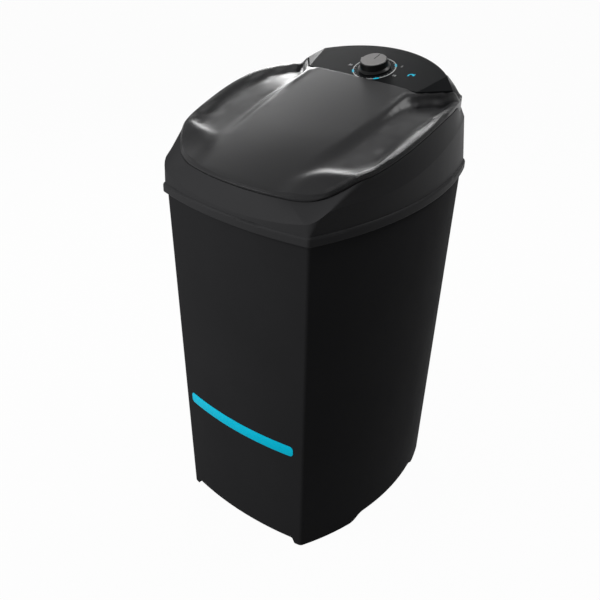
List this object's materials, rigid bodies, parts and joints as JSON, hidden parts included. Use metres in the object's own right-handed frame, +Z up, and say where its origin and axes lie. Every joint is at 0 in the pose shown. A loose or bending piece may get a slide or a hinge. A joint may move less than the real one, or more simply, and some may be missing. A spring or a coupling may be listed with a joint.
{
  "type": "semi-automatic washing machine",
  "caption": "Free-standing top-loading tub washer with a tapered bulged cabinet, a sculpted hinged lid, a sloping dial panel and a belt-driven agitator.",
  "frame": {"origin": "centre of the footprint on the floor, under the four foot pads", "axes": "+Z up, front at -Y, right-hand side at +X"},
  "size_m": [0.482, 0.5719, 0.9694],
  "materials": {
    "cabinet_plastic": "matte black moulded plastic",
    "collar_plastic": "satin dark grey moulded plastic",
    "lid_plastic": "glossy smoke grey moulded plastic",
    "panel_plastic": "satin black plastic with plain printed marks",
    "knob_plastic": "black plastic",
    "knob_face": "light grey plastic",
    "accent_film": "turquoise film",
    "tub_plastic": "white polypropylene",
    "agitator_plastic": "light grey plastic",
    "filter_net": "nylon net",
    "pipe_plastic": "black plastic",
    "soft_rubber": "black rubber",
    "bright_steel": "plain steel",
    "bracket_paint": "grey painted sheet steel",
    "bush_bronze": "sintered bronze",
    "cast_aluminium": "cast aluminium",
    "motor_iron": "laminated iron",
    "capacitor_case": "light grey plastic case",
    "cable_sheath": "black cable sheath"
  },
  "bodies": {
    "cabinet": {"cabinet_shell": "cabinet_plastic", "rear_cover": "cabinet_plastic", "top_collar": "collar_plastic", "console_housing": "collar_plastic", "hinge_brackets": "collar_plastic", "control_panel": "panel_plastic", "accent_strip": "accent_film", "wash_tub": "tub_plastic", "drain_grille": "tub_plastic", "bearing_housing": "tub_plastic", "drain_pipe": "pipe_plastic", "drain_spigot": "pipe_plastic", "timer_body": "pipe_plastic", "cord_gland": "pipe_plastic", "foot_pads": "soft_rubber", "lid_buffers": "soft_rubber", "shaft_seal": "soft_rubber", "motor_grommets": "soft_rubber", "drive_belt": "soft_rubber", "hinge_pins": "bright_steel", "capacitor_clip": "bright_steel", "motor_bracket": "bracket_paint", "motor_can": "bracket_paint", "upper_bush": "bush_bronze", "lower_bush": "bush_bronze", "motor_lower_cap": "cast_aluminium", "motor_upper_cap": "cast_aluminium", "motor_stator": "motor_iron", "capacitor": "capacitor_case", "wiring_loom": "cable_sheath"},
    "lid": {"lid_cover": "lid_plastic"},
    "knob": {"timer_knob": "knob_plastic", "knob_cap": "knob_face", "timer_shaft": "knob_plastic"},
    "agitator": {"agitator": "agitator_plastic", "agitator_cap": "agitator_plastic", "drive_shaft": "bright_steel", "driven_pulley": "cast_aluminium", "pulley_nut": "bright_steel"},
    "rotor": {"motor_shaft": "bright_steel", "motor_rotor": "motor_iron", "motor_pulley": "cast_aluminium"},
    "lint_filter": {"filter_frame": "agitator_plastic", "filter_mesh": "filter_net"}
  },
  "joints": [
    {"name": "lid_hinge", "type": "hinge", "parent": "cabinet", "child": "lid", "pos_m": [0, 0.246, 0.89], "axis": [-1, 0, 0], "range_deg": [0, 100]},
    {"name": "knob_turn", "type": "hinge", "parent": "cabinet", "child": "knob", "pos_m": [0, 0.168, 0.94318], "axis": [0, -0.2588, 0.9659], "continuous": true},
    {"name": "agitator_spin", "type": "hinge", "parent": "cabinet", "child": "agitator", "pos_m": [0, -0.03, 0.2], "axis": [0, 0, 1], "continuous": true},
    {"name": "rotor_spin", "type": "hinge", "parent": "cabinet", "child": "rotor", "pos_m": [0, 0.11, 0.2], "axis": [0, 0, 1], "continuous": true},
    {"name": "filter_slide", "type": "slide", "parent": "cabinet", "child": "lint_filter", "axis": [0, 0, 1], "range_m": [0, 0.15]}
  ],
  "couplings": [
    {"joint": "rotor_spin", "follows": "agitator_spin", "ratio": 4.4872}
  ]
}
